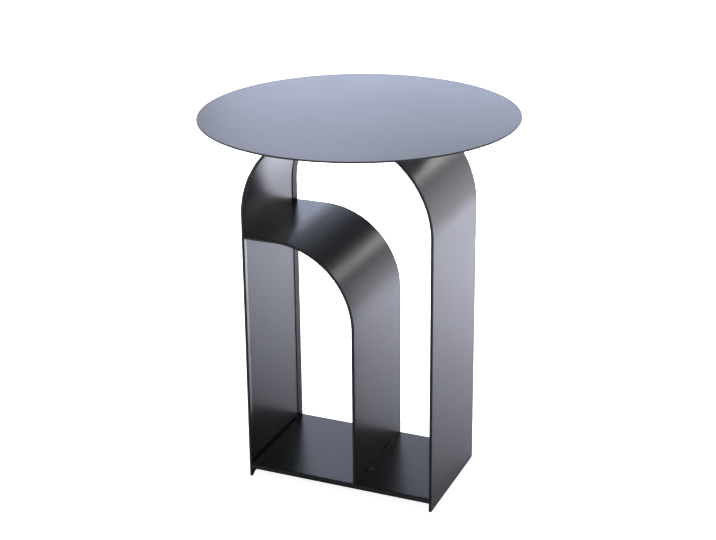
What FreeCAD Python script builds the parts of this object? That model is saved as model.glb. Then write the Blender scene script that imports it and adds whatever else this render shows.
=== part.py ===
import FreeCAD, Part
import math
import os
import re

import Sketcher
from FreeCAD import Placement, Rotation, Vector

# Round side table of folded sheet steel: a thin disc on an arch, with a shelf that bends down
# into an inner leg. X runs to the right, the front faces -Y, Z is up from the floor, and the
# origin is on the floor under the middle of the disc. Lengths are in millimetres.

# Driving sizes: name, value, meaning
SIZES = (
    ("top_diameter", 450, "diameter of the round top"),
    ("top_thickness", 2.5, "thickness of the round top"),
    ("top_rim_round", 0.8, "rounding of the top's rim"),
    ("table_height", 550, "height from the floor to the upper face of the top"),
    ("arch_radius", 138, "outside radius of the outer arch's two bends"),
    ("arch_flat", 12, "width of the flat between the two bends, under the top"),
    ("arch_depth", 180, "depth of the strips from front to back"),
    ("sheet_thickness", 1, "thickness of the folded sheet"),
    ("hem_width", 12, "width of the folded-over edges"),
    ("hem_swell", 2.3, "how much fatter a folded-over edge is at its fold"),
    ("fold_round", 1.2, "rounding of the folds"),
    ("shelf_drop", 29.5, "depth of the shelf's upper face under the start of the arch's bends"),
    ("inner_leg_offset", 27, "right face of the inner leg, to the right of the middle"),
    ("inner_radius", 120, "outside radius of the bend from the shelf to the inner leg"),
    ("base_height", 20, "height of the base plate's upper face"),
    ("base_lip", 7, "height of the base plate's turned-down front and back edges"),
    ("bend_radius", 1.5, "inside radius of the small bends"),
    ("flange_setback", 2, "distance from a flange's end to the hem beside it"),
    ("tab_width", 24, "width of the shelf's tabs"),
    ("tab_inset", 33, "distance from a hem to the middle of the tab nearest to it"),
    ("fit_gap", 0.2, "gap round the tabs and beside the hems"),
    ("hole_clearance", 0.5, "how much wider a hole is than its stud or screw"),
    ("thread_clearance", 0.2, "how much wider a nut's bore is than its stud or screw"),
    ("thread_chamfer", 0.6, "chamfer on the ends of studs and screws"),
    ("top_stud_diameter", 6, "diameter of the studs under the top"),
    ("top_stud_reach", 1.9, "how far the studs under the top stand out of their nuts"),
    ("top_stud_inset", 23, "distance from a hem to the stud under the top nearest to it"),
    ("top_washer_diameter", 12, "diameter of the washers under the arch"),
    ("top_washer_thickness", 1.6, "thickness of the washers under the arch"),
    ("top_nut_flats", 10, "width across flats of the nuts under the arch"),
    ("top_nut_height", 5, "height of the nuts under the arch"),
    ("leg_stud_diameter", 5, "diameter of the studs inside the legs"),
    ("leg_stud_reach", 2, "how far the studs inside the legs stand out of their nuts"),
    ("leg_stud_inset", 33, "distance from a hem to the leg stud nearest to it"),
    ("leg_nut_flats", 8, "width across flats of the nuts inside the legs"),
    ("leg_nut_height", 4, "height of the nuts inside the legs"),
    ("leg_nut_room", 0.3, "room between a leg nut's corner and the bend above it"),
    ("leg_nut_margin", 0.7, "how far the base plate's end flanges reach under the leg nuts"),
    ("foot_screw_diameter", 3, "diameter of the screws through the inner leg's feet"),
    ("foot_screw_reach", 1.4, "how far the foot screws stand out of their nuts"),
    ("foot_screw_inset", 38, "distance from a hem to the foot screw nearest to it"),
    ("foot_head_diameter", 5.7, "diameter of the foot screws' heads"),
    ("foot_head_height", 1.65, "height of the foot screws' heads"),
    ("foot_head_flat", 3, "diameter of the flat on the foot screws' heads"),
    ("foot_head_room", 0.4, "room between a foot screw's head and the slot beside it"),
    ("foot_socket_flats", 2, "width across flats of the foot screws' sockets"),
    ("foot_socket_depth", 1, "depth of the foot screws' sockets"),
    ("foot_nut_flats", 5.5, "width across flats of the nuts under the inner leg's feet"),
    ("foot_nut_height", 2.4, "height of the nuts under the inner leg's feet"),
    ("foot_nut_margin", 1.5, "how far the inner leg's feet reach past the foot nuts"),
    ("foot_width", 30, "width of the inner leg's two feet"),
)

# Sizes worked out from the driving ones
WORKED_OUT = {
    "arch_top": "table_height - top_thickness",
    "arch_half": "arch_radius + arch_flat / 2",
    "depth_half": "arch_depth / 2",
    "arch_bend_height": "arch_top - arch_radius",
    "leg_inside": "arch_half - sheet_thickness",
    "fold_thickness": "2 * sheet_thickness + hem_swell",
    "between_folds": "arch_half - fold_thickness - fit_gap",
    "between_hems": "depth_half - hem_width",
    "flange_half": "between_hems - flange_setback",
    "bend_outside": "bend_radius + sheet_thickness",
    "shelf_height": "arch_bend_height - shelf_drop",
    "shelf_underside": "shelf_height - sheet_thickness",
    "inner_bend_height": "shelf_height - inner_radius",
    "inner_bend_middle": "inner_leg_offset - inner_radius",
    "tab_place": "between_hems - tab_inset",
    "base_underside": "base_height - sheet_thickness",
    "base_flat_half": "min(between_folds; leg_inside - bend_outside)",
    "top_stud_place": "between_hems - top_stud_inset",
    "top_stud_length": "sheet_thickness + top_washer_thickness + top_nut_height + top_stud_reach",
    "top_washer_face": "arch_top - sheet_thickness",
    "top_nut_face": "top_washer_face - top_washer_thickness",
    "leg_stud_place": "between_hems - leg_stud_inset",
    "leg_stud_length": "sheet_thickness + leg_nut_height + leg_stud_reach",
    "leg_nut_corner": "leg_nut_flats / sqrt(3)",
    "leg_stud_height": "base_height - bend_outside - leg_nut_corner - leg_nut_room",
    "flange_low_edge": "leg_stud_height - leg_nut_corner - leg_nut_margin",
    "foot_underside": "base_underside - sheet_thickness",
    "foot_slot_end": "inner_leg_offset + bend_radius + fit_gap",
    "foot_screw_offset": "foot_slot_end + foot_head_room + foot_head_diameter / 2",
    "foot_end": "foot_screw_offset + foot_nut_flats / sqrt(3) + foot_nut_margin",
    "foot_screw_place": "between_hems - foot_screw_inset",
    "foot_screw_length": "2 * sheet_thickness + foot_nut_height + foot_screw_reach",
}

LEFT, RIGHT = -1, 1
FRONT, BACK = -1, 1
NUT_CHAMFER_START = 0.95
NUT_CHAMFER_SLOPE = 0.577
SMALLEST_CHANGE = 1e-6

doc = FreeCAD.newDocument("side_table")
sheet = doc.addObject("Spreadsheet::Sheet", "Sizes")
for row, (name, size, meaning) in enumerate(SIZES, start=1):
    sheet.set(f"A{row}", meaning)
    sheet.set(f"B{row}", str(size))
    sheet.setAlias(f"B{row}", name)
doc.recompute()
SIZE_NAMES = {name for name, size, meaning in SIZES}


def formula(text):
    """Writes a formula in the sheet's cells, with worked-out sizes spelled out."""

    def cell(match):
        word = match.group(0)
        if word in WORKED_OUT:
            return f"({formula(WORKED_OUT[word])})"
        return f"Sizes.{word}" if word in SIZE_NAMES else word

    return re.sub(r"[a-z][a-z_]+", cell, text)


def value(text):
    """The number that a formula gives now."""
    return float(sheet.evalExpression(formula(text)))


def bind(thing, properties):
    """Ties properties to formulas."""
    for path, text in properties.items():
        thing.setExpression(path, formula(text))


def origin_part(body, role):
    """One of a body's own origin planes."""
    return next(item for item in body.Origin.OriginFeatures if item.Role == role)


def new_body(label):
    body = doc.addObject("PartDesign::Body", label)
    body.Label = label
    return body


def new_sketch(body, plane, offset="0"):
    """An empty sketch on one of the body's own planes, moved along the plane's normal."""
    sketch = body.newObject("Sketcher::SketchObject", "sketch")
    sketch.AttachmentSupport = [(origin_part(body, plane), "")]
    sketch.MapMode = "FlatFace"
    bind(sketch, {"AttachmentOffset.Base.z": offset})
    return sketch


def constrain(sketch, text, kind, *where):
    """A dimension in a sketch that follows a formula."""
    index = sketch.addConstraint(Sketcher.Constraint(kind, *where, value(text)))
    sketch.setExpression(f"Constraints[{index}]", formula(text))


def pin(sketch, geometry, end, across, up):
    """Fixes one point of a sketch by its distances from the sketch's origin."""
    constrain(sketch, across, "DistanceX", -1, 1, geometry, end)
    constrain(sketch, up, "DistanceY", -1, 1, geometry, end)


def arc_between(start, end, radius, turn):
    """The short arc from start to end that turns left (+1) or right (-1)."""
    chord = end - start
    left = Vector(-chord.y, chord.x, 0).normalize()
    rise = math.sqrt(max(radius**2 - chord.Length**2 / 4, 0))
    centre = (start + end) / 2 + left * rise * turn
    first, last = (start, end) if turn > 0 else (end, start)
    angles = [math.atan2(spot.y - centre.y, spot.x - centre.x) for spot in (first, last)]
    return Part.ArcOfCircle(Part.Circle(centre, Vector(0, 0, 1), radius), *angles)


def draw_outline(sketch, points):
    """Draws a closed outline with every corner tied to formulas.

    A corner is (across, up), reached by a straight line, or (across, up, radius, turn), reached
    by an arc. Segment i ends at corner i.
    """
    first_segment = sketch.GeometryCount
    corners = [Vector(value(point[0]), value(point[1]), 0) for point in points]
    ends = []
    for index, point in enumerate(points):
        start, end = corners[index - 1], corners[index]
        if len(point) == 2:
            sketch.addGeometry(Part.LineSegment(start, end), False)
            ends.append((1, 2))
        else:
            radius, turn = point[2:]
            arc = sketch.addGeometry(arc_between(start, end, value(radius), turn), False)
            constrain(sketch, radius, "Radius", arc)
            ends.append((1, 2) if turn > 0 else (2, 1))
    for index, point in enumerate(points):
        following = (index + 1) % len(points)
        here = (first_segment + index, ends[index][1])
        there = (first_segment + following, ends[following][0])
        sketch.addConstraint(Sketcher.Constraint("Coincident", *here, *there))
        pin(sketch, *here, point[0], point[1])


def draw_circle(sketch, across, up, diameter):
    middle = Vector(value(across), value(up), 0)
    circle = Part.Circle(middle, Vector(0, 0, 1), value(diameter) / 2)
    index = sketch.addGeometry(circle, False)
    constrain(sketch, diameter, "Diameter", index)
    pin(sketch, index, 3, across, up)


def draw_hexagon(sketch, flats):
    corner = f"{flats} / sqrt(3)"
    half_side = f"{flats} / sqrt(3) / 2"
    half = f"{flats} / 2"
    right = [(half_side, f"-{half}"), (corner, "0"), (half_side, half)]
    left = [(f"-{half_side}", half), (f"-{corner}", "0"), (f"-{half_side}", f"-{half}")]
    draw_outline(sketch, right + left)


def volume_so_far(body):
    return 0.0 if body.Tip is None else body.Shape.Volume


def finish_feature(body, feature, before):
    """Recomputes, and makes sure that the feature added or removed material as it should."""
    body.Tip = feature
    doc.recompute()
    change = body.Shape.Volume - before
    if feature.TypeId in ("PartDesign::Pocket", "PartDesign::Groove"):
        change = -change
    if change < SMALLEST_CHANGE:
        raise RuntimeError(f"{feature.Label} of {body.Label} does nothing")
    return feature


def extrude(body, kind, sketch, length, turned=False, symmetric=False):
    """A Pad or a Pocket of one sketch."""
    before = volume_so_far(body)
    feature = body.newObject(f"PartDesign::{kind}", kind)
    feature.Profile = sketch
    feature.SideType = "Symmetric" if symmetric else "One side"
    feature.Reversed = turned
    bind(feature, {"Length": length})
    return finish_feature(body, feature, before)


def spin(body, kind, sketch, axis="V_Axis", degrees=360, turned=False):
    """A Revolution or a Groove of one sketch about one of its axes."""
    before = volume_so_far(body)
    feature = body.newObject(f"PartDesign::{kind}", kind)
    feature.Profile = sketch
    feature.ReferenceAxis = (sketch, [axis])
    feature.Angle = degrees
    feature.Reversed = turned
    return finish_feature(body, feature, before)


def mirror_sideways(body, originals):
    """Copies features to the other side of the middle plane."""
    before = volume_so_far(body)
    feature = body.newObject("PartDesign::Mirrored", "Mirrored")
    feature.Originals = originals
    feature.MirrorPlane = (origin_part(body, "YZ_Plane"), [""])
    return finish_feature(body, feature, before)


def place(body, x, y, z, rotation=Rotation()):
    """Puts a piece at a point given in formulas."""
    body.Placement = Placement(Vector(), rotation)
    bind(body, {"Placement.Base.x": x, "Placement.Base.y": y, "Placement.Base.z": z})


def group(label, bodies):
    """Like fasteners, kept together as one sub-part of separate solids."""
    made = doc.addObject("Part::Compound", label)
    made.Label = label
    made.Links = bodies
    return made


def strip_section(face, upright):
    """Cross-section of a strip with both edges folded over on its inner side.

    face is where the strip's outer face lies. An upright section runs along the sketch's second
    axis, with its inner side to the left, and a lying one along the first, with its inner side
    below. A corner is given by how far inside the outer face it is and how far from the edge,
    and by whether the way from the edge's outer side reaches it round an arc.
    """
    corners = (
        ("0", "fold_round", False),
        ("fold_round", "0", True),
        ("fold_thickness - fold_round", "0", False),
        ("fold_thickness", "fold_round", True),
        ("2 * sheet_thickness", "hem_width", False),
        ("sheet_thickness", "hem_width", False),
    )
    front = [(inward, f"{edge} - depth_half", arc) for inward, edge, arc in corners]
    back = []
    for index in reversed(range(len(corners))):
        inward, edge, arc = corners[index]
        arc_here = index + 1 < len(corners) and corners[index + 1][2]
        back.append((inward, f"depth_half - {edge}", arc_here))
    turn = RIGHT if upright else LEFT
    points = []
    for inward, along, arc in front + back:
        across = f"{face} - ({inward})"
        corner = (across, along) if upright else (along, across)
        points.append(corner + (("fold_round", -turn) if arc else ()))
    return points


def add_bend_axis(sketch, across):
    """A construction line along the sketch's second axis, to bend a strip about."""
    here = value(across)
    line = Part.LineSegment(Vector(here, 0, 0), Vector(here, value("depth_half"), 0))
    index = sketch.addGeometry(line, True)
    pin(sketch, index, 1, across, "0")
    pin(sketch, index, 2, across, "depth_half")


def make_tabletop():
    """Flat disc with a slightly rounded rim."""
    body = new_body("tabletop")
    disc = new_sketch(body, "XY_Plane")
    draw_circle(disc, "0", "0", "top_diameter")
    pad = extrude(body, "Pad", disc, "top_thickness")
    rims = [
        f"Edge{number}"
        for number, edge in enumerate(pad.Shape.Edges, start=1)
        if edge.Curve.TypeId == "Part::GeomCircle"
    ]
    rounding = body.newObject("PartDesign::Fillet", "rim")
    rounding.Base = (pad, rims)
    bind(rounding, {"Radius": "top_rim_round"})
    place(body, "0", "0", "arch_top")
    return body


def make_outer_arch():
    """Hemmed strip: two legs, two large bends and a narrow flat under the top."""
    body = new_body("outer_arch")
    section = new_sketch(body, "XY_Plane", "arch_bend_height")
    add_bend_axis(section, "arch_flat / 2")
    draw_outline(section, strip_section("arch_half", upright=True))
    leg = extrude(body, "Pad", section, "arch_bend_height", turned=True)
    bend = spin(body, "Revolution", section, "Axis0", 90, turned=True)
    top = new_sketch(body, "YZ_Plane")
    draw_outline(top, strip_section("arch_top", upright=False))
    flat = extrude(body, "Pad", top, "arch_flat / 2")
    mirror_sideways(body, [leg, bend, flat])

    holes = new_sketch(body, "XY_Plane", "arch_top")
    for step in (FRONT, 0, BACK):
        draw_circle(holes, "0", f"{step} * top_stud_place", "top_stud_diameter + hole_clearance")
    extrude(body, "Pocket", holes, "sheet_thickness")

    slots = new_sketch(body, "YZ_Plane", "-arch_half")
    for side in (FRONT, BACK):
        middle = f"{side} * tab_place"
        half = "(tab_width / 2 + fit_gap)"
        low, high = "shelf_underside - fit_gap", "shelf_height + fit_gap"
        left, right = f"{middle} - {half}", f"{middle} + {half}"
        draw_outline(slots, [(left, low), (right, low), (right, high), (left, high)])
    extrude(body, "Pocket", slots, "sheet_thickness", turned=True)
    return body


def make_inner_arch():
    """Hemmed strip: a shelf with tabs, a quarter bend and a leg with two feet."""
    body = new_body("inner_arch")
    section = new_sketch(body, "XY_Plane", "inner_bend_height")
    add_bend_axis(section, "inner_bend_middle")
    draw_outline(section, strip_section("inner_leg_offset", upright=True))
    extrude(body, "Pad", section, "inner_bend_height - base_height", turned=True)
    spin(body, "Revolution", section, "Axis0", 90, turned=True)
    shelf = new_sketch(body, "YZ_Plane", "inner_bend_middle")
    draw_outline(shelf, strip_section("shelf_height", upright=False))
    extrude(body, "Pad", shelf, "between_folds + inner_bend_middle", turned=True)

    # The shelf's end follows the leg's sloping hems, and its tabs go through the leg.
    end = new_sketch(body, "XY_Plane", "shelf_underside")
    root, start = "sheet_thickness - between_folds", "-between_folds"
    hem_end, stop, tip = "2 * sheet_thickness + fit_gap - arch_half", "-leg_inside", "-arch_half"
    wide, half = "depth_half - fold_round", "between_hems - fit_gap"
    outline = [(root, f"-({wide})"), (start, f"-({wide})"), (hem_end, f"-({half})"), (stop, f"-({half})")]
    for side in (FRONT, BACK):
        near = f"{side} * tab_place - tab_width / 2"
        far = f"{side} * tab_place + tab_width / 2"
        outline += [(stop, near), (tip, near), (tip, far), (stop, far)]
    outline += [(stop, half), (hem_end, half), (start, wide), (root, wide)]
    draw_outline(end, outline)
    extrude(body, "Pad", end, "sheet_thickness")

    # Two feet go down through the base plate and turn to the right under it.
    left, right = "inner_leg_offset - sheet_thickness", "inner_leg_offset"
    top, bend_start = "base_height + bend_outside", "base_underside + bend_radius"
    bend_end = "inner_leg_offset + bend_radius"
    outline = [
        (left, top),
        (left, bend_start),
        (bend_end, "foot_underside", "bend_outside", 1),
        ("foot_end", "foot_underside"),
        ("foot_end", "base_underside"),
        (bend_end, "base_underside"),
        (right, bend_start, "bend_radius", -1),
        (right, top),
    ]
    for side in (FRONT, BACK):
        foot = new_sketch(body, "XZ_Plane", f"{side} * foot_screw_place")
        draw_outline(foot, outline)
        extrude(body, "Pad", foot, "foot_width", symmetric=True)
    drill_foot_holes(body, "base_underside")
    return body


def drill_foot_holes(body, upper_face):
    """The two holes that the foot screws pass through."""
    holes = new_sketch(body, "XY_Plane", upper_face)
    for side in (FRONT, BACK):
        across, up = "foot_screw_offset", f"{side} * foot_screw_place"
        draw_circle(holes, across, up, "foot_screw_diameter + hole_clearance")
    extrude(body, "Pocket", holes, "sheet_thickness")


def make_base_plate():
    """Floor of the table: edges turned down all round, the ends slotted over the leg studs."""
    body = new_body("base_plate")
    plate = new_sketch(body, "YZ_Plane")
    lip_edge, bend_start = "base_height - base_lip", "base_height - bend_outside"
    flat_end, lip_inside = "depth_half - bend_outside", "depth_half - sheet_thickness"
    outline = [
        ("-depth_half", lip_edge),
        ("-depth_half", bend_start),
        (f"-({flat_end})", "base_height", "bend_outside", -1),
        (flat_end, "base_height"),
        ("depth_half", bend_start, "bend_outside", -1),
        ("depth_half", lip_edge),
        (lip_inside, lip_edge),
        (lip_inside, bend_start),
        (flat_end, "base_underside", "bend_radius", 1),
        (f"-({flat_end})", "base_underside"),
        (f"-({lip_inside})", bend_start, "bend_radius", 1),
        (f"-({lip_inside})", lip_edge),
    ]
    draw_outline(plate, outline)
    extrude(body, "Pad", plate, "2 * base_flat_half", symmetric=True)

    end = new_sketch(body, "XZ_Plane")
    root, flange_inside = "base_flat_half - sheet_thickness", "leg_inside - sheet_thickness"
    outline = [
        (root, "base_height"),
        ("leg_inside - bend_outside", "base_height"),
        ("leg_inside", bend_start, "bend_outside", -1),
        ("leg_inside", "flange_low_edge"),
        (flange_inside, "flange_low_edge"),
        (flange_inside, bend_start),
        ("leg_inside - bend_outside", "base_underside", "bend_radius", 1),
        (root, "base_underside"),
    ]
    draw_outline(end, outline)
    flange = extrude(body, "Pad", end, "2 * flange_half", symmetric=True)

    slots = new_sketch(body, "YZ_Plane", "leg_inside")
    half = "(leg_stud_diameter + hole_clearance) / 2"
    low = "flange_low_edge - fit_gap"
    for side in (FRONT, BACK):
        middle = f"{side} * leg_stud_place"
        left, right = f"{middle} - {half}", f"{middle} + {half}"
        outline = [
            (left, low),
            (right, low),
            (right, "leg_stud_height"),
            (middle, f"leg_stud_height + {half}", half, 1),
            (left, "leg_stud_height", half, 1),
        ]
        draw_outline(slots, outline)
    notches = extrude(body, "Pocket", slots, "sheet_thickness")
    mirror_sideways(body, [flange, notches])

    slots = new_sketch(body, "XY_Plane", "base_height")
    left, right = "inner_leg_offset - sheet_thickness - fit_gap", "foot_slot_end"
    for side in (FRONT, BACK):
        low = f"{side} * foot_screw_place - foot_width / 2 - fit_gap"
        high = f"{side} * foot_screw_place + foot_width / 2 + fit_gap"
        draw_outline(slots, [(left, low), (right, low), (right, high), (left, high)])
    extrude(body, "Pocket", slots, "sheet_thickness")
    drill_foot_holes(body, "base_height")
    return body


def make_stud(label, diameter, length):
    """Threaded stud that grows along +Z from the face that it is welded to."""
    body = new_body(label)
    profile = new_sketch(body, "XZ_Plane")
    radius = f"{diameter} / 2"
    outline = [
        ("0", "0"),
        (radius, "0"),
        (radius, f"{length} - thread_chamfer"),
        (f"{radius} - thread_chamfer", length),
        ("0", length),
    ]
    draw_outline(profile, outline)
    spin(body, "Revolution", profile)
    return body


def make_nut(label, flats, height, stud_diameter):
    """Hexagon nut along +Z, chamfered at both ends."""
    body = new_body(label)
    hexagon = new_sketch(body, "XY_Plane")
    draw_hexagon(hexagon, flats)
    draw_circle(hexagon, "0", "0", f"{stud_diameter} + thread_clearance")
    extrude(body, "Pad", hexagon, height)
    corners = new_sketch(body, "XZ_Plane")
    start, end = f"{NUT_CHAMFER_START} * {flats} / 2", f"{flats} / sqrt(3) + sheet_thickness"
    drop = f"({end} - {start}) * {NUT_CHAMFER_SLOPE}"
    draw_outline(corners, [(start, height), (end, f"{height} - {drop}"), (end, height)])
    draw_outline(corners, [(start, "0"), (end, "0"), (end, drop)])
    spin(body, "Groove", corners)
    return body


def make_washer(label):
    body = new_body(label)
    ring = new_sketch(body, "XY_Plane")
    draw_circle(ring, "0", "0", "top_washer_diameter")
    draw_circle(ring, "0", "0", "top_stud_diameter + hole_clearance")
    extrude(body, "Pad", ring, "top_washer_thickness")
    return body


def make_foot_screw(label):
    """Button-head screw with a hexagon socket; its head stands on the XY plane."""
    body = new_body(label)
    profile = new_sketch(body, "XZ_Plane")
    shank, head = "foot_screw_diameter / 2", "foot_head_diameter / 2"
    tip = "-foot_screw_length"
    outline = [
        ("0", tip),
        (f"{shank} - thread_chamfer", tip),
        (shank, f"{tip} + thread_chamfer"),
        (shank, "0"),
        (head, "0"),
        ("foot_head_flat / 2", "foot_head_height", head, 1),
        ("0", "foot_head_height"),
    ]
    draw_outline(profile, outline)
    spin(body, "Revolution", profile)
    socket = new_sketch(body, "XY_Plane", "foot_head_height")
    draw_hexagon(socket, "foot_socket_flats")
    extrude(body, "Pocket", socket, "foot_socket_depth")
    return body


def make_top_fasteners():
    """Studs under the top, with the washers and nuts that hold the arch to them."""
    downwards = Rotation(Vector(1, 0, 0), 180)
    studs, washers, nuts = [], [], []
    for number, step in enumerate((FRONT, 0, BACK), start=1):
        depth = f"{step} * top_stud_place"
        stud = make_stud(f"tabletop_stud_{number}", "top_stud_diameter", "top_stud_length")
        place(stud, "0", depth, "arch_top", downwards)
        washer = make_washer(f"tabletop_washer_{number}")
        place(washer, "0", depth, "top_washer_face", downwards)
        nut = make_nut(f"tabletop_nut_{number}", "top_nut_flats", "top_nut_height", "top_stud_diameter")
        place(nut, "0", depth, "top_nut_face", downwards)
        studs.append(stud)
        washers.append(washer)
        nuts.append(nut)
    return [
        group("tabletop_studs", studs),
        group("tabletop_washers", washers),
        group("tabletop_nuts", nuts),
    ]


def make_leg_fasteners(word, side):
    """Studs inside one leg, with the nuts that hold the base plate's flange to them."""
    inwards = Rotation(Vector(0, 1, 0), -90 * side)
    studs, nuts = [], []
    for number, step in enumerate((FRONT, BACK), start=1):
        depth = f"{step} * leg_stud_place"
        stud = make_stud(f"{word}_stud_{number}", "leg_stud_diameter", "leg_stud_length")
        place(stud, f"{side} * leg_inside", depth, "leg_stud_height", inwards)
        nut = make_nut(f"{word}_nut_{number}", "leg_nut_flats", "leg_nut_height", "leg_stud_diameter")
        place(nut, f"{side} * (leg_inside - sheet_thickness)", depth, "leg_stud_height", inwards)
        studs.append(stud)
        nuts.append(nut)
    return [group(f"{word}_studs", studs), group(f"{word}_nuts", nuts)]


def make_foot_fasteners():
    """Screws through the base plate and the inner leg's feet, with nuts underneath."""
    downwards = Rotation(Vector(1, 0, 0), 180)
    screws, nuts = [], []
    for number, step in enumerate((FRONT, BACK), start=1):
        depth = f"{step} * foot_screw_place"
        screw = make_foot_screw(f"foot_screw_{number}")
        place(screw, "foot_screw_offset", depth, "base_height")
        nut = make_nut(f"foot_nut_{number}", "foot_nut_flats", "foot_nut_height", "foot_screw_diameter")
        place(nut, "foot_screw_offset", depth, "foot_underside", downwards)
        screws.append(screw)
        nuts.append(nut)
    return [group("foot_screws", screws), group("foot_nuts", nuts)]


sub_parts = [make_tabletop(), make_outer_arch(), make_inner_arch(), make_base_plate()]
sub_parts += make_top_fasteners()
sub_parts += make_leg_fasteners("left_leg", LEFT) + make_leg_fasteners("right_leg", RIGHT)
sub_parts += make_foot_fasteners()
doc.recompute()

for item in doc.Objects:
    if "Invalid" in item.State or "Error" in item.State:
        raise RuntimeError(f"{item.Label} failed: {item.State}")
for sub_part in sub_parts:
    if sub_part.Shape.isNull() or not sub_part.Shape.isValid():
        raise RuntimeError(f"{sub_part.Label} has no valid shape")

os.makedirs("parts", exist_ok=True)
for sub_part in sub_parts:
    sub_part.Shape.exportStep(f"parts/{sub_part.Label}.step")
    box = sub_part.Shape.BoundBox
    low = [round(number, 2) for number in (box.XMin, box.YMin, box.ZMin)]
    high = [round(number, 2) for number in (box.XMax, box.YMax, box.ZMax)]
    print(sub_part.Label, len(sub_part.Shape.Solids), "solids", low, high)
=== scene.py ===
import math

import bpy
import numpy as np
from bpy.props import FloatProperty, FloatVectorProperty, IntProperty, PointerProperty
from mathutils import Matrix, Vector


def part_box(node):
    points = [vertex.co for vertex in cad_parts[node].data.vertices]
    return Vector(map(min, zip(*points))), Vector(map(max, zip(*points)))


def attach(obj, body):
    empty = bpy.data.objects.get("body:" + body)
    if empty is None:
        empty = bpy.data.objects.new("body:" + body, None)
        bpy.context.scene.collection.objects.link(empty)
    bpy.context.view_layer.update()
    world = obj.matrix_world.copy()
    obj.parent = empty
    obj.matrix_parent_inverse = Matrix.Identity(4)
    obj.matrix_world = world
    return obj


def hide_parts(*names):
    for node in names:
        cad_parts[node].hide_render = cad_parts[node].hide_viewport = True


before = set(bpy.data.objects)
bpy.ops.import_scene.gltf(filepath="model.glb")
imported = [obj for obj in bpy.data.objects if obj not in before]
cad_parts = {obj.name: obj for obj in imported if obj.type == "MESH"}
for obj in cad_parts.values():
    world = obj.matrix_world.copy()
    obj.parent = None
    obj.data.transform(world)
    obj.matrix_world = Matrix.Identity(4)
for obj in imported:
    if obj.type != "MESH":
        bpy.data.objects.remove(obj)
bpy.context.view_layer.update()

bl_info = {
    "name": "Folded Steel Side Table",
    "version": (1, 0, 0),
    "blender": (4, 5, 0),
    "location": "3D View > Sidebar > Table",
    "description": "Dresses a round side table of folded sheet steel and sets up its studio",
    "category": "Object",
}

MM = 0.001  # metres
SAME_PLACE = 1e-7  # metres, below which two section lines are one
SHARP_ANGLE = math.radians(38)  # edges that turn by more stay sharp
NOISE_SPAN = (0.25, 0.75)  # where most values of a noise lie
IMAGE_WIDTH, IMAGE_HEIGHT = 716, 540  # pixels
X, Y, Z = range(3)
FRONT, BACK = -1, 1
SLOT_STATION = 1  # on a path with slots, they run from its second station to its third
COAT, ZINC, OXIDE = "powder_coated_steel_satin", "zinc_plated_steel", "black_oxide_steel"


def linear(code):
    """Turns an sRGB hex colour into linear red, green and blue, by the sRGB curve."""
    parts = np.array([int(code[i:i + 2], 16) for i in (1, 3, 5)]) / 255
    low, high = parts / 12.92, ((parts + 0.055) / 1.055) ** 2.4
    return tuple(np.where(parts <= 0.04045, low, high))


# Settings


def length(name, description, default):
    """A length setting, in metres."""
    return FloatProperty(
        name=name, description=description, default=default, unit="LENGTH", precision=5
    )


def angle(name, description, degrees):
    """An angle setting, given in degrees."""
    return FloatProperty(
        name=name, description=description, default=math.radians(degrees), subtype="ANGLE"
    )


def share(name, description, default):
    """A setting that is a share of something else."""
    return FloatProperty(name=name, description=description, default=default, subtype="FACTOR")


def number(name, description, default):
    """A setting without a unit."""
    return FloatProperty(name=name, description=description, default=default)


def limits(name, description, first, second):
    """A pair of numbers that something varies between."""
    return FloatVectorProperty(name=name, description=description, default=(first, second), size=2)


def whole(name, description, default, least):
    """A whole number, with the least that it may be."""
    return IntProperty(name=name, description=description, default=default, min=least)


def colour(name, description, code):
    """A colour setting, given as an sRGB hex value."""
    return FloatVectorProperty(
        name=name, description=description, default=linear(code), subtype="COLOR", size=3, min=0, max=1
    )


class SheetSizes(bpy.types.PropertyGroup):
    thickness: length("Sheet", "Thickness of the folded sheet", 1 * MM)
    hem_width: length("Hem width", "Width of the folded-over edges", 12 * MM)
    hem_swell: length("Hem swell", "How much fatter a hem is at its fold", 2.3 * MM)
    fold_round: length("Fold rounding", "Rounding of a fold's two sides", 1.2 * MM)
    cut_round: length("Cut rounding", "Rounding of a cut edge under its coat", 0.25 * MM)
    rim_round: length("Rim rounding", "Rounding of the round top's rim", 0.8 * MM)
    arch_radius: length("Arch radius", "Outside radius of the outer arch's bends", 138 * MM)
    inner_radius: length("Inner radius", "Outside radius of the shelf's bend", 120 * MM)
    leg_offset: length("Inner leg", "Right face of the inner leg, from the middle", 27 * MM)
    shelf_height: length("Shelf height", "Upper face of the shelf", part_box("inner_arch")[1].z)
    base_height: length("Base height", "Upper face of the base plate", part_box("base_plate")[1].z)
    base_lip: length("Base lip", "Height of the base plate's front and back edges", 7 * MM)
    bend_radius: length("Bend radius", "Inside radius of the small bends", 1.5 * MM)
    flange_setback: length("Flange setback", "From a flange's end to the hem beside it", 2 * MM)
    tab_width: length("Tab width", "Width of the shelf's tabs", 24 * MM)
    tab_inset: length("Tab inset", "From a hem to the middle of the nearest tab", 33 * MM)
    foot_width: length("Foot width", "Width of the inner leg's two feet", 30 * MM)
    foot_inset: length("Foot inset", "From a hem to the middle of the nearest foot", 38 * MM)
    fit_gap: length("Fit gap", "Gap round the tabs and feet", 0.2 * MM)
    arc_steps: whole("Arc steps", "Facets in a large bend", 96, 8)
    round_steps: whole("Rounding steps", "Facets in a small bend", 8, 2)
    rim_steps: whole("Rim steps", "Facets round the top", 288, 32)


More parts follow.
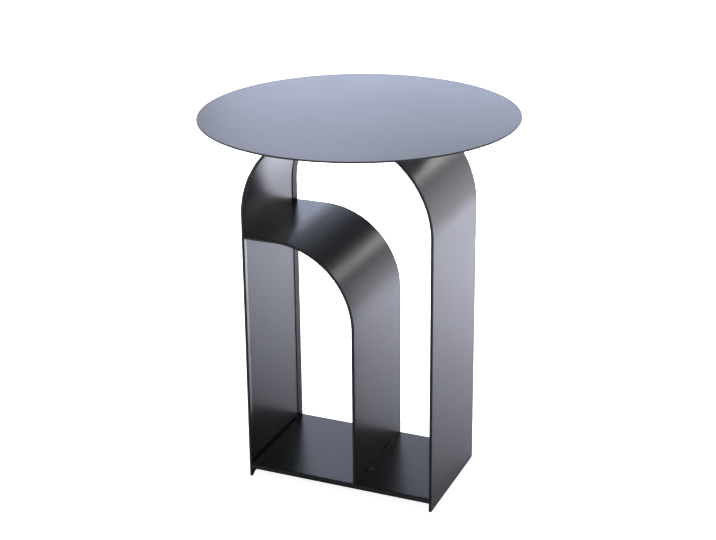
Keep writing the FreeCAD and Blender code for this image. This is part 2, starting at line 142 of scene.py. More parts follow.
class ThreadSizes(bpy.types.PropertyGroup):
    pitch_share: share("Pitch", "Thread pitch as a share of the diameter", 0.167)
    depth_share: share("Depth", "Thread depth as a share of the pitch", 0.54)
    chamfer: length("Chamfer", "Chamfer on a thread's end", 0.6 * MM)
    head_height: length("Head height", "Height of the foot screws' heads", 1.65 * MM)
    head_flat: length("Head flat", "Diameter of the flat on a foot screw's head", 3 * MM)
    socket_flats: length("Socket", "Width across flats of the hexagon sockets", 2 * MM)
    socket_depth: length("Socket depth", "Depth of the hexagon sockets", 1 * MM)
    screw_diameter: length("Screw diameter", "Diameter of the foot screws", 3 * MM)
    turn_steps: whole("Turn steps", "Facets in a turn of a thread", 36, 12)
    pitch_steps: whole("Pitch steps", "Rows in a pitch of a thread", 8, 4)


class Finishes(bpy.types.PropertyGroup):
    coat: colour("Coat", "Powder coat", "#08080a")
    coat_deep: colour("Coat, deep", "Powder coat where it lies thicker", "#050506")
    coat_roughness: limits("Coat roughness", "Roughness of thick and thin coat", 0.285, 0.305)
    coat_ior: number("Coat IOR", "Refractive index of the powder coat", 1.5)
    coat_peel: length("Orange peel", "Width of the coat's waves", 1.6 * MM)
    coat_peel_height: length("Peel height", "Height of the coat's waves", 0.0012 * MM)
    coat_cloud: length("Coat clouds", "Width of the coat's thick and thin areas", 70 * MM)
    zinc: colour("Zinc", "Zinc plating", "#c3c6c9")
    zinc_dull: colour("Zinc, dull", "Zinc plating where it has dulled", "#a3a49f")
    zinc_roughness: limits("Zinc roughness", "Roughness of bright and dull plating", 0.22, 0.48)
    zinc_spangle: length("Zinc spots", "Width of the plating's dull spots", 2.5 * MM)
    oxide: colour("Black oxide", "Blackened steel of the foot screws", "#3c3d40")
    oxide_worn: colour("Black oxide, worn", "Blackened steel where it has rubbed", "#55575a")
    oxide_roughness: limits("Oxide roughness", "Roughness of whole and rubbed oxide", 0.34, 0.5)
    oxide_ior: number("Oxide IOR", "Refractive index of the oiled oxide", 1.6)
    oxide_grain: length("Oxide grain", "Width of the blackened steel's rubbed spots", 0.8 * MM)


class Studio(bpy.types.PropertyGroup):
    floor: colour("Floor", "Studio floor", "#e8e8ea")
    floor_reach: length("Floor reach", "From the middle to the floor's edges", 8)
    floor_drop: length("Floor drop", "Gap between the table's feet and the floor", 0.2 * MM)
    floor_lift: number("Floor lift", "Floor's own white in the camera", 0.92)
    # Painted shade: reflections of the floor get its glow only away from the table, in place of the
    # table's shadow.
    shade_start: length("Shade start", "Where reflections of the floor begin to get its white", 0.3)
    shade_end: length("Shade end", "Where reflections of the floor get all its white", 2.4)
    backdrop: colour("Backdrop", "What the camera sees behind the table", "#ffffff")
    sweep: limits("Sweep", "Sines of elevation between which the mirrored backdrop fades", 0.06, 0.19)
    room: colour("Room", "Dim light from all round", "#d8dcea")
    room_strength: number("Room light", "Strength of the dim light", 0.2)
    camera_place: FloatVectorProperty(
        name="Camera", description="Camera position",
        default=(0.8007, -1.89105, 1.1224), subtype="TRANSLATION",
    )
    yaw: angle("Yaw", "Camera turned left", 23.037)
    pitch: angle("Pitch", "Camera tilted up", -20.109)
    roll: angle("Roll", "Camera roll", 0.55)
    focal_pixels: number("Focal length", "In the picture's pixels", 1534.3)
    middle_row: number("Middle row", "Row of the picture that the lens axis falls on", 235)


# Meshes: a shell is its points and its faces, in blocks of faces with the same number of corners.


def arc(centre, radius, start, end, steps):
    """Points centre + radius * (cos a, sin a), and their directions, with a from start to end.

    Start and end are in degrees.
    """
    angles = np.radians(np.linspace(start, end, steps + 1))
    outwards = np.stack([np.cos(angles), np.sin(angles)], axis=1)
    return np.asarray(centre) + radius * outwards, outwards


def straight(start, end, normal):
    """Both ends of a straight stretch, with one normal for each."""
    return np.array([start, end]), np.array([normal, normal], dtype=float)


def join_path(*stretches):
    """One path of points and normals; where two stretches meet, the first one's end is kept."""
    points = [stretches[0][0]] + [points[1:] for points, normals in stretches[1:]]
    normals = [stretches[0][1]] + [normals[1:] for points, normals in stretches[1:]]
    return np.concatenate(points), np.concatenate(normals)


def with_stations(path, heights):
    """Adds stations at given heights to a path's first stretch, which runs straight up."""
    points, normals = path
    extra = np.array([(points[0, 0], height) for height in heights])
    points = np.concatenate([points[:1], extra, points[1:]])
    return points, np.concatenate([np.repeat(normals[:1], len(heights) + 1, axis=0), normals[1:]])


def closed_grid(rows, around):
    """A grid of point numbers that closes round: the numbers, their next ones, and its faces."""
    index = np.arange(rows * around).reshape(rows, around)
    following = np.roll(index, -1, axis=1)
    quads = np.stack([index[:-1], following[:-1], following[1:], index[1:]], axis=-1)
    return index, following, quads


def carry(section, path, windows=()):
    """A closed section carried along a path in the XZ plane, with flat ends.

    A section point is (inward, across). On station s of the path it lies at
    point(s) + inward * normal(s) in X and Z, and at across in Y. A window is (station, low, high):
    between that station and the next, the two faces are cut away from low to high and walled round.
    """
    points, normals = path
    stations, around = len(points), len(section)
    plane = points[:, None, :] + normals[:, None, :] * section[None, :, :1]
    across = np.broadcast_to(section[:, 1], (stations, around))
    verts = np.stack([plane[..., 0], across, plane[..., 1]], axis=-1).reshape(-1, 3)

    index, _, quads = closed_grid(stations, around)
    keep = np.ones(quads.shape[:2], dtype=bool)
    walls = []
    for station, low, high in windows:
        outer_low, inner_low = np.flatnonzero(np.abs(section[:, 1] - low) < SAME_PLACE)
        outer_high, inner_high = np.flatnonzero(np.abs(section[:, 1] - high) < SAME_PLACE)
        keep[station, [outer_low, inner_high]] = False
        ring = [outer_low, outer_high, inner_high, inner_low]
        here, there = index[station, ring], index[station + 1, ring]
        walls += [here[::-1], there]
        walls += [[here[0], here[3], there[3], there[0]], [here[2], here[1], there[1], there[2]]]
    sides = np.concatenate([quads[keep], np.array(walls, dtype=int).reshape(-1, 4)])
    return verts, [sides, index[:1, ::-1], index[-1:]]


def turn(radii, heights):
    """A closed piece turned about Z, with rows of radii at every angle, and a pole at each end.

    Row i at angle a lies at (radius(i, a) * cos a, radius(i, a) * sin a, height(i)).
    """
    rows, around = radii.shape
    angles = np.linspace(0, 2 * np.pi, around, endpoint=False)
    spread = np.broadcast_to(heights[:, None], radii.shape)
    ring = np.stack([radii * np.cos(angles), radii * np.sin(angles), spread], axis=-1).reshape(-1, 3)
    poles = [(0, 0, heights[0]), (0, 0, heights[-1])]
    index, following, quads = closed_grid(rows, around)
    first, last = len(ring), len(ring) + 1
    low = np.stack([following[0], index[0], np.full(around, first)], axis=-1)
    high = np.stack([index[-1], following[-1], np.full(around, last)], axis=-1)
    return np.concatenate([ring, poles]), [quads.reshape(-1, 4), low, high]


def facing_out(verts, blocks):
    """Turns a closed shell's faces outwards, by the sign of the volume under the faces' fans."""
    volume = 0.0
    for block in blocks:
        corners = verts[block]
        first, rest, after = corners[:, :1], corners[:, 1:-1], corners[:, 2:]
        volume += np.sum(first * np.cross(rest, after))
    return [block[:, ::-1] for block in blocks] if volume < 0 else blocks


def new_piece(name, shells, material, slot, *nodes):
    """One object from closed shells, in place of CAD nodes, with flat faces kept flat."""
    verts, faces, start = [], [], 0
    for shell_verts, blocks in shells:
        verts.append(shell_verts)
        for block in facing_out(shell_verts, blocks):
            faces += (start + block).tolist()
        start += len(shell_verts)
    mesh = bpy.data.meshes.new(name)
    mesh.from_pydata(np.concatenate(verts).tolist(), [], faces)
    mesh.shade_smooth()
    mesh.set_sharp_from_angle(angle=SHARP_ANGLE)
    mesh.materials.append(material)
    piece = bpy.data.objects.new(name, mesh)
    bpy.context.scene.collection.objects.link(piece)
    weighted = piece.modifiers.new("flat faces", "WEIGHTED_NORMAL")
    weighted.keep_sharp = True
    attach(piece, "root")
    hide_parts(*nodes)
    return piece


def hemmed_section(sizes, lines=()):
    """Section of a strip whose two edges are folded over inwards, as (inward, across) points.

    It runs along the outer face, round the back fold, over the back hem's sloping face, down its cut
    edge, along the inner face and back over the front hem. lines are extra points on both faces.
    """
    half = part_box("outer_arch")[1].y
    sheet, edge, steps = sizes.thickness, sizes.fold_round, sizes.round_steps
    fold = 2 * sheet + sizes.hem_swell
    hem = half - sizes.hem_width
    lines = sorted({-hem, hem, *lines})
    outer = [(0, line) for line in lines]
    nose_out, _ = arc((edge, half - edge), edge, 180, 90, steps)
    nose_in, _ = arc((fold - edge, half - edge), edge, 90, 0, steps)
    cut_round = sizes.cut_round
    cut, _ = arc((2 * sheet - cut_round, hem + cut_round), cut_round, 0, -90, steps // 2)
    back = np.concatenate([nose_out, nose_in, cut])
    front = back[::-1] * (1, -1)
    inner = [(sheet, line) for line in reversed(lines)]
    return np.concatenate([outer, back, inner, front])


def plain_section(sheet, low, high):
    """Section of a plain flat strip, as (inward, across) points."""
    return np.array([(0, low), (0, high), (sheet, high), (sheet, low)])


def slot_windows(middle, reach):
    """Windows for a front and a back slot, and the section lines that they need.

    Their middles lie at middle from the table's own, and they run to reach on both sides of that.
    """
    windows = [(SLOT_STATION, side * middle - reach, side * middle + reach) for side in (FRONT, BACK)]
    return windows, sorted(edge for window in windows for edge in window[1:])


def mirrored(shell):
    """A shell on the other side of the middle plane."""
    verts, blocks = shell
    return verts * (-1, 1, 1), blocks


# Materials


def add_node(tree, kind, inputs=None, **settings):
    """Adds a node, with its settings and with its inputs set or linked."""
    node = tree.nodes.new(kind)
    for name, setting in settings.items():
        setattr(node, name, setting)
    for name, source in (inputs or {}).items():
        if isinstance(source, bpy.types.NodeSocket):
            tree.links.new(source, node.inputs[name])
        else:
            node.inputs[name].default_value = source
    return node


def new_material(name):
    """An empty material with its output, ready for nodes."""
    material = bpy.data.materials.new(name)
    material.use_nodes = True
    tree = material.node_tree
    tree.nodes.clear()
    return material, tree, add_node(tree, "ShaderNodeOutputMaterial")


def spots(tree, width, detail, grain):
    """Noise in soft spots of about the given width, fixed to the piece."""
    place = add_node(tree, "ShaderNodeTexCoord").outputs["Object"]
    noise = add_node(tree, "ShaderNodeTexNoise", {
        "Vector": place, "Scale": 1 / width, "Detail": detail, "Roughness": grain,
    })
    return noise.outputs["Fac"]


def mixed(tree, factor, first, second):
    """The colour between two that a factor gives."""
    mix = add_node(tree, "ShaderNodeMix", {
        "Factor": factor, "A": (*first, 1), "B": (*second, 1),
    }, data_type="RGBA")
    return mix.outputs["Result"]


def ranged(tree, factor, ends, span=(0, 1), kind="LINEAR"):
    """A number that goes from one end to the other as a factor crosses a span."""
    mapped = add_node(tree, "ShaderNodeMapRange", {
        "Value": factor, "From Min": span[0], "From Max": span[1], "To Min": ends[0], "To Max": ends[1],
    }, interpolation_type=kind)
    return mapped.outputs["Result"]


def maths(tree, operation, *terms):
    """One step of arithmetic on numbers and sockets."""
    step = add_node(tree, "ShaderNodeMath", dict(enumerate(terms)), operation=operation)
    return step.outputs["Value"]


def powder_coat():
    """Satin black powder coat on steel: sprayed, baked, and slightly wavy like orange peel.

    Head-on it is nearly black, and at a glancing angle it shines like a dull mirror. The waves are
    drawn coarser than real ones, which would be too fine to show.
    """
    finish = bpy.context.scene.table_finishes
    material, tree, output = new_material(COAT)
    cloud = spots(tree, finish.coat_cloud, detail=3.0, grain=0.55)
    peel = spots(tree, finish.coat_peel, detail=1.0, grain=0.4)
    bump = add_node(tree, "ShaderNodeBump", {
        "Height": peel, "Strength": 1.0, "Distance": finish.coat_peel_height,
    })
    shader = add_node(tree, "ShaderNodeBsdfPrincipled", {
        "Base Color": mixed(tree, cloud, finish.coat_deep, finish.coat),
        "Roughness": ranged(tree, cloud, finish.coat_roughness, NOISE_SPAN),
        "Normal": bump.outputs["Normal"], "IOR": finish.coat_ior,
    })
    tree.links.new(shader.outputs["BSDF"], output.inputs["Surface"])
    return material


def zinc_plating():
    """Zinc-plated steel: a thin bright metal skin with small dull spots."""
    finish = bpy.context.scene.table_finishes
    material, tree, output = new_material(ZINC)
    dull = spots(tree, finish.zinc_spangle, detail=2.0, grain=0.5)
    shader = add_node(tree, "ShaderNodeBsdfPrincipled", {
        "Base Color": mixed(tree, dull, finish.zinc, finish.zinc_dull),
        "Roughness": ranged(tree, dull, finish.zinc_roughness), "Metallic": 1.0,
    })
    tree.links.new(shader.outputs["BSDF"], output.inputs["Surface"])
    return material


def black_oxide():
    """Blackened steel: a thin oily oxide layer, dark grey and dull, with small rubbed spots."""
    finish = bpy.context.scene.table_finishes
    material, tree, output = new_material(OXIDE)
    worn = spots(tree, finish.oxide_grain, detail=2.0, grain=0.5)
    shader = add_node(tree, "ShaderNodeBsdfPrincipled", {
        "Base Color": mixed(tree, worn, finish.oxide, finish.oxide_worn),
        "Roughness": ranged(tree, worn, finish.oxide_roughness), "IOR": finish.oxide_ior,
    })
    tree.links.new(shader.outputs["BSDF"], output.inputs["Surface"])
    return material


MATERIALS = {COAT: powder_coat, ZINC: zinc_plating, OXIDE: black_oxide}


def shared(name):
    """The material of that name, made the first time that it is asked for."""
    return bpy.data.materials.get(name) or MATERIALS[name]()


# Pieces


class TABLE_OT_round_top(bpy.types.Operator):
    """Thin flat disc with a slightly rounded rim"""

    bl_idname = "table.round_top"
    bl_label = "Round top"

    def execute(self, context):
        sizes = context.scene.table_sizes
        low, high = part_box("tabletop")
        radius, edge = (high.y - low.y) / 2, sizes.rim_round
        lower, _ = arc((radius - edge, low.z + edge), edge, -90, 0, sizes.round_steps)
        upper, _ = arc((radius - edge, high.z - edge), edge, 0, 90, sizes.round_steps)
        profile = np.concatenate([lower, upper])
        radii = np.repeat(profile[:, :1], sizes.rim_steps, axis=1)
        disc = turn(radii, profile[:, 1])
        new_piece("round_top", [disc], shared(COAT), "black_coated_steel", "tabletop")
        return {"FINISHED"}


class TABLE_OT_outer_arch(bpy.types.Operator):
    """Hemmed strip: two legs, two large bends and a narrow flat under the top"""

    bl_idname = "table.outer_arch"
    bl_label = "Outer arch"

    def execute(self, context):
        sizes = context.scene.table_sizes
        low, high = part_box("outer_arch")
        half, top, radius = high.x, high.z, sizes.arch_radius
        bend, middle, steps = top - radius, half - radius, sizes.arc_steps
        left_points, left_out = arc((-middle, bend), radius, 180, 90, steps)
        right_points, right_out = arc((middle, bend), radius, 90, 0, steps)
        path = join_path(
            straight((-half, low.z), (-half, bend), (1, 0)),
            (left_points, -left_out),
            straight((-middle, top), (middle, top), (0, -1)),
            (right_points, -right_out),
            straight((half, bend), (half, low.z), (-1, 0)),
        )

        # The shelf's tabs go through two slots in the left leg.
        slot_low = sizes.shelf_height - sizes.thickness - sizes.fit_gap
        path = with_stations(path, (slot_low, sizes.shelf_height + sizes.fit_gap))
        tab = high.y - sizes.hem_width - sizes.tab_inset
        windows, lines = slot_windows(tab, sizes.tab_width / 2 + sizes.fit_gap)
        strip = carry(hemmed_section(sizes, lines), path, windows)
        new_piece("arch_strip", [strip], shared(COAT), "black_coated_steel", "outer_arch")
        return {"FINISHED"}


class TABLE_OT_inner_arch(bpy.types.Operator):
    """Hemmed strip: a shelf with two tabs, a quarter bend and a leg with two feet"""

    bl_idname = "table.inner_arch"
    bl_label = "Shelf and inner leg"

    def execute(self, context):
        sizes = context.scene.table_sizes
        sheet, gap, radius, face = sizes.thickness, sizes.fit_gap, sizes.inner_radius, sizes.leg_offset
        half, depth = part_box("outer_arch")[1].x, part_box("outer_arch")[1].y
        hem, fold = depth - sizes.hem_width, 2 * sheet + sizes.hem_swell
        shelf, floor = sizes.shelf_height, sizes.base_height
        middle, bend = face - radius, shelf - radius
        bend_points, bend_out = arc((middle, bend), radius, 90, 0, sizes.arc_steps)
        path = join_path(
            straight((fold + gap - half, shelf), (middle, shelf), (0, -1)),
            (bend_points, -bend_out),
            straight((face, bend), (face, floor), (-1, 0)),
        )
        shells = [carry(hemmed_section(sizes), path)]

        # The shelf's end follows the leg's sloping hems, and its tabs fill the leg's slots.
        wide, reach = depth - sizes.fold_round, hem - gap
        tab, tab_half = hem - sizes.tab_inset, sizes.tab_width / 2
        outline = [(fold + gap, -wide), (2 * sheet + gap, -reach), (sheet, -reach)]
        for side in (FRONT, BACK):
            near, far = side * tab - tab_half, side * tab + tab_half
            outline += [(sheet, near), (0, near), (0, far), (sheet, far)]
        outline += [(sheet, reach), (2 * sheet + gap, reach), (fold + gap, wide)]
        upright = straight((-half, shelf - sheet), (-half, shelf), (1, 0))
        shells.append(carry(np.array(outline), upright))

        # The feet go down through the base plate and turn to the right under it.
        foot, foot_half = hem - sizes.foot_inset, sizes.foot_width / 2
        under, inside = floor - sheet, sizes.bend_radius
        foot_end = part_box("inner_arch")[1].x
        corner = (face + inside, under + inside)
        turned, turned_out = arc(corner, inside + sheet, 180, 270, sizes.round_steps)
        foot_path = join_path(
            straight((face - sheet, floor), (face - sheet, under + inside), (1, 0)),
            (turned, -turned_out),
            straight((face + inside, under - sheet), (foot_end, under - sheet), (0, 1)),
        )
        for side in (FRONT, BACK):
            section = plain_section(sheet, side * foot - foot_half, side * foot + foot_half)
            shells.append(carry(section, foot_path))
        new_piece("shelf_strip", shells, shared(COAT), "black_coated_steel", "inner_arch")
        return {"FINISHED"}


class TABLE_OT_base_plate(bpy.types.Operator):
    """Floor of the table: edges turned down all round, with slots for the inner leg's feet"""

    bl_idname = "table.base_plate"
    bl_label = "Base plate"

    def execute(self, context):
        sizes = context.scene.table_sizes
        low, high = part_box("base_plate")
        sheet, inside, steps = sizes.thickness, sizes.bend_radius, sizes.round_steps
        outside, depth, top = inside + sheet, high.y, high.z
        hem = depth - sizes.hem_width
        windows, lines = slot_windows(hem - sizes.foot_inset, sizes.foot_width / 2 + sizes.fit_gap)

        # Section of the tray: inward is down from the upper face, across runs from front to back.
        outer, _ = arc((outside, depth - outside), outside, 180, 90, steps)
        inner, _ = arc((outside, depth - outside), inside, 90, 180, steps)
        lip = np.array([(sizes.base_lip, depth), (sizes.base_lip, depth - sheet)])
        back = np.concatenate([outer, lip, inner])
        upper = [(0, line) for line in lines]
        lower = [(sheet, line) for line in reversed(lines)]
        section = np.concatenate([upper, back, lower, back[::-1] * (1, -1)])

        end = high.x - outside
        slot_start = sizes.leg_offset - sheet - sizes.fit_gap
        slot_end = sizes.leg_offset + inside + sizes.fit_gap
        points = np.array([(x, top) for x in (-end, slot_start, slot_end, end)])
        normals = np.repeat([(0.0, -1.0)], len(points), axis=0)
        shells = [carry(section, (points, normals), windows)]

        flange_half = hem - sizes.flange_setback
        turned, turned_out = arc((end, top - outside), outside, 90, 0, steps)
        flange_path = join_path(
            straight((end - sheet, top), (end, top), (0, -1)),
            (turned, -turned_out),
            straight((high.x, top - outside), (high.x, low.z), (-1, 0)),
        )
        flange = carry(plain_section(sheet, -flange_half, flange_half), flange_path)
        shells += [flange, mirrored(flange)]
        new_piece("floor_plate", shells, shared(COAT), "black_coated_steel", "base_plate")
        return {"FINISHED"}


def threaded_rows(threads, radius, start, end, chamfer_end):
    """Rows of a screw thread along Z: the radius at every angle, and each row's height.

    The radius falls from the crest by the thread's depth times a triangle wave of
    height / pitch - angle / full turn, so the crests climb one pitch in each turn. At one end it is
    held under a cone that widens by 1 mm for each mm of height.
    """
    pitch = threads.pitch_share * 2 * radius
    rows = int(math.ceil((end - start) / pitch * threads.pitch_steps)) + 1
    heights = np.linspace(start, end, rows)
    turns = np.arange(threads.turn_steps) / threads.turn_steps
    wave = (heights[:, None] / pitch - turns) % 1.0
    radii = radius - threads.depth_share * pitch * np.abs(2 * wave - 1)
    cone = radius - threads.chamfer + np.abs(heights - chamfer_end)
    return np.minimum(radii, cone[:, None]), heights


class TABLE_OT_studs(bpy.types.Operator):
    """Threaded studs under the top and inside both legs"""

    bl_idname = "table.studs"
    bl_label = "Studs"

    def execute(self, context):
        threads = context.scene.table_threads
        downwards = Matrix.Rotation(math.pi, 3, "X")
        rightwards = Matrix.Rotation(math.pi / 2, 3, "Y")
        leftwards = Matrix.Rotation(-math.pi / 2, 3, "Y")
        rows = (
            ("top_studs", "tabletop_studs", Z, X, downwards, (FRONT, 0, BACK)),
            ("left_studs", "left_leg_studs", X, Z, rightwards, (FRONT, BACK)),
            ("right_studs", "right_leg_studs", X, Z, leftwards, (FRONT, BACK)),
        )
        for name, node, along, across, rotation, places in rows:
            low, high = (np.array(corner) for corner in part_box(node))
            size, middle = high - low, (high + low) / 2
            radius, reach = size[across] / 2, size[along]
            verts, blocks = turn(*threaded_rows(threads, radius, 0, reach, reach))
            direction = np.array(rotation @ Vector((0, 0, 1)))
            root = middle - direction * reach / 2
            spacing = size[Y] / 2 - radius
            shells = []
            for step in places:
                origin = root + np.array((0, step * spacing, 0))
                shells.append((verts @ np.array(rotation).T + origin, blocks))
            new_piece(name, shells, shared(ZINC), "zinc_steel", node)
        return {"FINISHED"}


class TABLE_OT_nuts(bpy.types.Operator):
    """Zinc plating on the washers and nuts"""

    bl_idname = "table.nuts"
    bl_label = "Washers and nuts"

    def execute(self, context):
        names = ("tabletop_washers", "tabletop_nuts", "left_leg_nuts", "right_leg_nuts", "foot_nuts")
        for name in names:
            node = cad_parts[name]
            node.data.materials.clear()
            node.data.materials.append(shared(ZINC))
        return {"FINISHED"}


class TABLE_OT_foot_screws(bpy.types.Operator):
    """Button-head screws with hexagon sockets, through the base plate and the inner leg's feet"""

    bl_idname = "table.foot_screws"
    bl_label = "Foot screws"

    def execute(self, context):
        threads, sizes = context.scene.table_threads, context.scene.table_sizes
        low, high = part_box("foot_screws")
        around, seat, tip = threads.turn_steps, sizes.base_height, low.z - sizes.base_height
        head, flat = (high.x - low.x) / 2, threads.head_flat / 2
        shank_radii, shank_heights = threaded_rows(threads, threads.screw_diameter / 2, tip, 0, tip)

        # The head's side is an arc of the head's own radius from its rim to its flat.
        rise = np.array((flat - head, threads.head_height))
        chord = np.hypot(*rise)
        left = np.array((-rise[1], rise[0])) / chord
        centre = np.array((head, 0)) + rise / 2 + left * math.sqrt(head**2 - chord**2 / 4)
        first = math.degrees(math.atan2(-centre[1], head - centre[0]))
        last = math.degrees(math.atan2(threads.head_height - centre[1], flat - centre[0]))
        dome, _ = arc(centre, head, first, last, sizes.round_steps)
        dome_radii = np.repeat(dome[:, :1], around, axis=1)

        # The socket's radius at angle a is half its width over the cosine of a within one flat.
        angles, sixth = np.linspace(0, 2 * np.pi, around, endpoint=False), np.pi / 3
        hexagon = threads.socket_flats / 2 / np.cos((angles + sixth / 2) % sixth - sixth / 2)
        bottom = threads.head_height - threads.socket_depth
        radii = np.concatenate([shank_radii, dome_radii, hexagon[None], hexagon[None]])
        heights = np.concatenate([shank_heights, dome[:, 1], [threads.head_height, bottom]])
        verts, blocks = turn(radii, heights)
        middle, spacing = (low.x + high.x) / 2, (high.y - low.y) / 2 - head
        shells = [(verts + np.array((middle, side * spacing, seat)), blocks) for side in (FRONT, BACK)]
        new_piece("foot_bolts", shells, shared(OXIDE), "black_screw_steel", "foot_screws")
        return {"FINISHED"}


# Stage


# Softboxes: name, place and target (m), width and height (m), brightness, spread (degrees) and tint.
# The first lights the table from above. The next five stand behind it and give its faces their sheen,
# and the one over the floor lights the white that they mirror. The last three show the other sides.
SOFTBOXES = (
    ("softbox_over", (0.2, -0.2, 2.3), (0.2, -0.2, 0.0), 2.0, 1.6, 1.8, 180, "#ffffff"),
    ("softbox_back_left", (-1.3, 2.2, 1.12), (-1.3, 0.0, 1.12), 2.1, 1.0, 0.6, 180, "#dee6ff"),
    ("softbox_low_left", (-1.28, 4.0, 1.42), (0.0, 0.0, 0.35), 2.1, 0.46, 5.4, 180, "#dae3ff"),
    ("softbox_high_left", (-1.4, 2.2, 1.9), (0.0, 0.0, 0.1), 1.0, 0.5, 2.4, 180, "#dee6ff"),
    ("softbox_back_right", (1.55, 2.2, 0.45), (1.55, 0.0, 0.45), 1.9, 0.9, 0.7, 180, "#e7eaff"),
    ("softbox_strip", (2.42, 6.0, 2.15), (0.0, 0.0, 0.4), 1.36, 0.7, 7.8, 180, "#fcfff6"),
    ("softbox_floor", (-0.27, 1.17, 1.8), (-0.27, 1.17, 0.0), 1.9, 1.25, 4.65, 58, "#ebedff"),
    ("softbox_left", (-2.4, -0.3, 1.3), (0.0, -0.3, 0.6), 2.4, 1.0, 1.6, 180, "#ffffff"),
    ("softbox_right", (2.4, -0.3, 1.3), (0.0, -0.3, 0.6), 2.4, 1.0, 1.6, 180, "#ffffff"),
    ("softbox_front", (0.0, -2.6, 1.5), (0.0, 0.0, 0.6), 2.4, 1.0, 0.8, 180, "#ffffff"),
)


def studio_floor(studio):
    """Matt white floor, lit by the lamps and with its own white added.

    The camera gets that white everywhere, so only a faint shadow is left. Reflections get it only away
    from the table: a painted shade round the table, in place of the shadow that the table casts there.
    """
    material, tree, output = new_material("studio_floor_matt_paint")
    place = add_node(tree, "ShaderNodeTexCoord").outputs["Object"]
    distance = add_node(tree, "ShaderNodeVectorMath", {0: place}, operation="LENGTH").outputs["Value"]
    # Painted shade in reflections: the floor's mirrored glow fades in with distance from the table's
    # middle.
    away = ranged(tree, distance, (0, 1), (studio.shade_start, studio.shade_end), "SMOOTHSTEP")
    ray = add_node(tree, "ShaderNodeLightPath").outputs
    mirrored_ray = maths(tree, "MAXIMUM", ray["Is Glossy Ray"], ray["Is Transmission Ray"])
    mirrored_white = maths(tree, "MULTIPLY", mirrored_ray, away)
    white = maths(tree, "MULTIPLY_ADD", ray["Is Camera Ray"], studio.floor_lift, mirrored_white)
    paint = add_node(tree, "ShaderNodeBsdfDiffuse", {"Color": (*studio.floor, 1)}).outputs["BSDF"]
    glow = add_node(tree, "ShaderNodeEmission", {"Strength": white}).outputs["Emission"]
    both = add_node(tree, "ShaderNodeAddShader", {0: paint, 1: glow})
    tree.links.new(both.outputs["Shader"], output.inputs["Surface"])
    return material


def softbox(name, place, target, width, height, brightness, spread, tint):
    """A rectangular softbox that faces a point and that the camera doesn't see.

    Its brightness is what a mirror would show of it, where 1 is white.
    """
    data = bpy.data.lights.new(name, "AREA")
    data.shape, data.size, data.size_y = "RECTANGLE", width, height
    data.energy = brightness * math.pi * width * height
    data.spread = math.radians(spread)
    data.color = linear(tint)
    light = bpy.data.objects.new(name, data)
    light.location = place
    light.rotation_euler = (Vector(target) - Vector(place)).to_track_quat("-Z", "Y").to_euler()
    light.visible_camera = False
    bpy.context.scene.collection.objects.link(light)


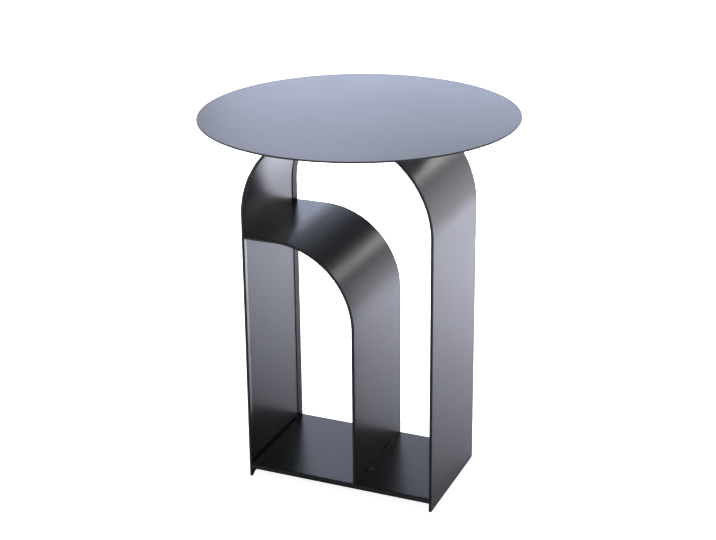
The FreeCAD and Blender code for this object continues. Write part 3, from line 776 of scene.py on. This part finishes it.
class TABLE_OT_stage(bpy.types.Operator):
    """White floor and backdrop, softboxes and the camera"""

    bl_idname = "table.stage"
    bl_label = "Studio"

    def execute(self, context):
        scene, studio = context.scene, context.scene.table_studio
        scene.view_settings.view_transform = "Standard"
        self.make_floor(scene, studio)
        self.make_world(scene, studio)
        for row in SOFTBOXES:
            softbox(*row)
        self.make_camera(scene, studio)
        return {"FINISHED"}

    def make_floor(self, scene, studio):
        """A square floor, just under the table's feet."""
        reach, height = studio.floor_reach, -studio.floor_drop
        corners = [(x * reach, y * reach, height) for x, y in ((-1, -1), (1, -1), (1, 1), (-1, 1))]
        mesh = bpy.data.meshes.new("floor")
        mesh.from_pydata(corners, [], [(0, 1, 2, 3)])
        mesh.materials.append(studio_floor(studio))
        floor = bpy.data.objects.new("floor", mesh)
        scene.collection.objects.link(floor)

    def make_world(self, scene, studio):
        """Dim light from all round, with a white backdrop for the camera.

        Reflections show the backdrop too, from the horizon up to where it fades.
        """
        world = bpy.data.worlds.new("studio_room")
        scene.world = world
        world.use_nodes = True
        tree = world.node_tree
        tree.nodes.clear()
        room = add_node(tree, "ShaderNodeBackground", {
            "Color": (*studio.room, 1), "Strength": studio.room_strength,
        })
        white = add_node(tree, "ShaderNodeBackground", {
            "Color": (*studio.backdrop, 1), "Strength": 1.0,
        })
        ray = add_node(tree, "ShaderNodeLightPath").outputs
        direction = add_node(tree, "ShaderNodeTexCoord").outputs["Generated"]
        upward = add_node(tree, "ShaderNodeSeparateXYZ", {"Vector": direction}).outputs["Z"]
        low = ranged(tree, upward, (1, 0), studio.sweep, "SMOOTHSTEP")
        mirrored_sweep = maths(tree, "MULTIPLY", ray["Is Glossy Ray"], low)
        straight_ray = maths(tree, "MAXIMUM", ray["Is Camera Ray"], ray["Is Transmission Ray"])
        mix = add_node(tree, "ShaderNodeMixShader", {
            "Fac": maths(tree, "MAXIMUM", straight_ray, mirrored_sweep),
            1: room.outputs["Background"], 2: white.outputs["Background"],
        })
        output = add_node(tree, "ShaderNodeOutputWorld")
        tree.links.new(mix.outputs["Shader"], output.inputs["Surface"])

    def make_camera(self, scene, studio):
        """A camera that is turned left, tilted and rolled, with its lens axis on the middle row."""
        data = bpy.data.cameras.new("camera")
        data.lens = studio.focal_pixels / IMAGE_WIDTH * data.sensor_width
        data.shift_y = (studio.middle_row - IMAGE_HEIGHT / 2) / IMAGE_WIDTH
        camera = bpy.data.objects.new("camera", data)
        tilt = math.pi / 2 + studio.pitch
        turned = Matrix.Rotation(studio.yaw, 3, "Z") @ Matrix.Rotation(tilt, 3, "X")
        turned = turned @ Matrix.Rotation(-studio.roll, 3, "Z")
        camera.matrix_world = Matrix.Translation(studio.camera_place) @ turned.to_4x4()
        scene.collection.objects.link(camera)
        scene.camera = camera


class TABLE_PT_panel(bpy.types.Panel):
    """Lists the table's pieces and its studio"""

    bl_idname = "TABLE_PT_panel"
    bl_label = "Folded Steel Side Table"
    bl_space_type = "VIEW_3D"
    bl_region_type = "UI"
    bl_category = "Table"

    def draw(self, context):
        for operator in OPERATORS:
            self.layout.operator(operator.bl_idname)


SETTINGS = (
    ("table_sizes", SheetSizes),
    ("table_threads", ThreadSizes),
    ("table_finishes", Finishes),
    ("table_studio", Studio),
)
OPERATORS = (
    TABLE_OT_round_top,
    TABLE_OT_outer_arch,
    TABLE_OT_inner_arch,
    TABLE_OT_base_plate,
    TABLE_OT_studs,
    TABLE_OT_nuts,
    TABLE_OT_foot_screws,
    TABLE_OT_stage,
)


def register():
    for name, group in SETTINGS:
        bpy.utils.register_class(group)
        setattr(bpy.types.Scene, name, PointerProperty(type=group))
    for operator in OPERATORS:
        bpy.utils.register_class(operator)
    bpy.utils.register_class(TABLE_PT_panel)


def unregister():
    bpy.utils.unregister_class(TABLE_PT_panel)
    for operator in reversed(OPERATORS):
        bpy.utils.unregister_class(operator)
    for name, group in reversed(SETTINGS):
        delattr(bpy.types.Scene, name)
        bpy.utils.unregister_class(group)


def main():
    register()
    bpy.ops.table.round_top()
    bpy.ops.table.outer_arch()
    bpy.ops.table.inner_arch()
    bpy.ops.table.base_plate()
    bpy.ops.table.studs()
    bpy.ops.table.nuts()
    bpy.ops.table.foot_screws()
    bpy.ops.table.stage()


if __name__ == "__main__":
    main()
